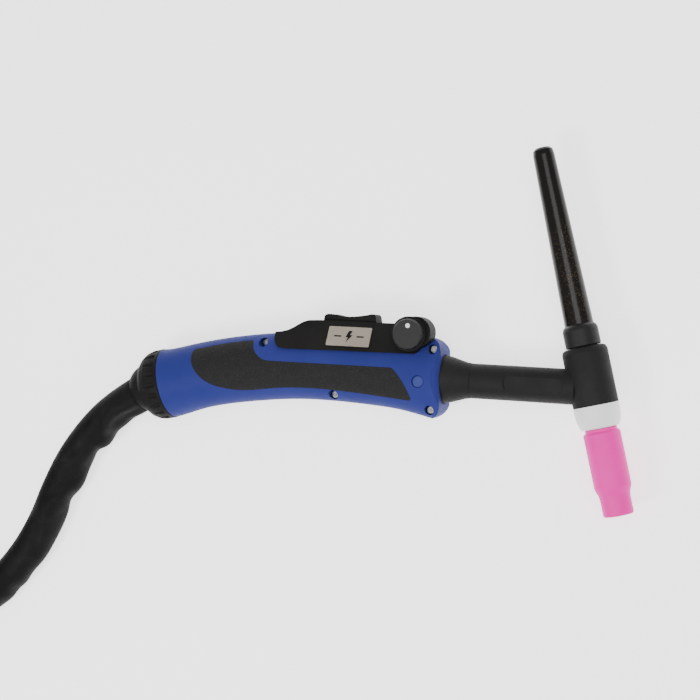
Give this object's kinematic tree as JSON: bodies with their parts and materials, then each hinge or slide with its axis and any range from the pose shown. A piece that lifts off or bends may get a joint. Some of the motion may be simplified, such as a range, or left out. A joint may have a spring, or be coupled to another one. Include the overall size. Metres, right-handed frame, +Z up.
{
  "type": "tig torch",
  "caption": "Gas-cooled TIG welding torch with a rocker switch, an adjusting knob, a long back cap, a ceramic nozzle and a ball-jointed sheathed cable that ends in its plugs.",
  "frame": {"origin": "on the bench, under the middle of the lying torch without its cable", "axes": "+X along the handle towards the head, +Y towards the rocker switch and back cap, +Z up from the bench to the knob side"},
  "size_m": [0.6697, 0.2928, 0.0432],
  "materials": {
    "blue_shell": "satin moulded nylon",
    "soft_grip": "fine grained soft grip",
    "black_plastic": "fine textured moulding",
    "badge_plastic": "satin",
    "label_metal": "satin printed foil",
    "white_mark": "paint",
    "steel": "bright zinc",
    "brass": "turned",
    "copper": "drawn copper",
    "torch_rubber": "moulded silicone",
    "cap_plastic": "glossy phenolic",
    "ceramic_pink": "fired alumina",
    "insulator_white": "smooth PTFE",
    "seal_rubber": "smooth",
    "sheath": "wrinkled sleeve",
    "cable_rubber": "smooth jacket",
    "board_green": "solder mask",
    "seat_ptfe": "smooth"
  },
  "bodies": {
    "cable": {"cable_ball": "black_plastic", "cable_lead": "sheath", "cable_coil": "sheath", "power_lead": "cable_rubber", "control_lead": "cable_rubber", "power_plug_body": "torch_rubber", "power_plug_pin": "brass", "control_plug_body": "black_plastic", "control_plug_pins": "brass"},
    "torch": {"handle_shell_near": "blue_shell", "handle_shell_far": "blue_shell", "grip_inlay_near": "soft_grip", "grip_inlay_far": "soft_grip", "blank_badge": "badge_plastic", "shell_screws": "steel", "shell_nuts": "steel", "socket_cup": "black_plastic", "retaining_ring": "black_plastic", "neck_boot": "torch_rubber", "torch_body": "torch_rubber", "head_core": "brass", "neck_pipe": "copper", "power_terminal": "brass", "collet_body": "copper", "collet": "copper", "insulator_ring": "insulator_white", "switch_module": "black_plastic", "circuit_board": "board_green", "microswitch_rear": "black_plastic", "microswitch_front": "black_plastic", "rocker_pin": "steel", "potentiometer_body": "steel", "label_plate": "label_metal", "power_hose": "cable_rubber", "switch_wires": "cable_rubber"},
    "seat": {"seat_washer": "seat_ptfe"},
    "rocker": {"rocker_button": "black_plastic"},
    "plunger_rear": {"switch_plunger_rear": "seat_ptfe"},
    "plunger_front": {"switch_plunger_front": "seat_ptfe"},
    "knob": {"adjust_knob": "black_plastic", "knob_shaft": "steel", "knob_pointer": "white_mark"},
    "cap_seal": {"cap_o_ring": "seal_rubber"},
    "cap": {"back_cap": "cap_plastic"},
    "nozzle_seal": {"nozzle_gasket": "seal_rubber"},
    "nozzle": {"gas_nozzle": "ceramic_pink"},
    "control_ring": {"control_plug_ring": "steel"}
  },
  "joints": [
    {"name": "ball_swing", "type": "hinge", "parent": "cable", "child": "seat", "pos_m": [-0.12705, -0.03082, 0.0195], "axis": [0, 0, 1], "range_deg": [-4, 38]},
    {"name": "ball_lift", "type": "hinge", "parent": "seat", "child": "torch", "pos_m": [-0.12705, -0.03082, 0.0195], "axis": [0.1874, -0.9823, 0], "range_deg": [0, 14]},
    {"name": "rocker_tilt", "type": "hinge", "parent": "torch", "child": "rocker", "pos_m": [-0.0091, 0.003, 0.0195], "axis": [0, 0, 1], "range_deg": [-5, 5], "stiffness_Nm_per_rad": 0.6},
    {"name": "plunger_rear_slide", "type": "slide", "parent": "torch", "child": "plunger_rear", "axis": [0, 1, 0], "range_m": [-0.0009, 0.0009]},
    {"name": "plunger_front_slide", "type": "slide", "parent": "torch", "child": "plunger_front", "axis": [0, 1, 0], "range_m": [-0.0009, 0.0009]},
    {"name": "knob_turn", "type": "hinge", "parent": "torch", "child": "knob", "pos_m": [0.0263, -0.0019, 0.0195], "axis": [0, 0, 1], "range_deg": [-150, 150]},
    {"name": "cap_travel", "type": "slide", "parent": "torch", "child": "cap_seal", "axis": [-0.2028, 0.9792, 0], "range_m": [0, 0.008]},
    {"name": "cap_turn", "type": "hinge", "parent": "cap_seal", "child": "cap", "pos_m": [0.11464, -0.01022, 0.0195], "axis": [-0.2028, 0.9792, 0], "range_deg": [0, 2880]},
    {"name": "nozzle_travel", "type": "slide", "parent": "torch", "child": "nozzle_seal", "axis": [0.2028, -0.9792, 0], "range_m": [0, 0.007]},
    {"name": "nozzle_turn", "type": "hinge", "parent": "nozzle_seal", "child": "nozzle", "pos_m": [0.12316, -0.05134, 0.0195], "axis": [0.2028, -0.9792, 0], "range_deg": [0, 1800]},
    {"name": "control_ring_turn", "type": "hinge", "parent": "cable", "child": "control_ring", "pos_m": [-0.41201, -0.06265, 0.0085], "axis": [-0.2096, -0.9778, 0], "range_deg": [-60, 60]}
  ],
  "couplings": [
    {"joint": "cap_turn", "follows": "cap_travel", "rad_per_m": 6283},
    {"joint": "nozzle_turn", "follows": "nozzle_travel", "rad_per_m": 4487},
    {"joint": "plunger_front_slide", "follows": "rocker_tilt", "m_per_rad": 0.009},
    {"joint": "plunger_rear_slide", "follows": "rocker_tilt", "m_per_rad": -0.009}
  ]
}
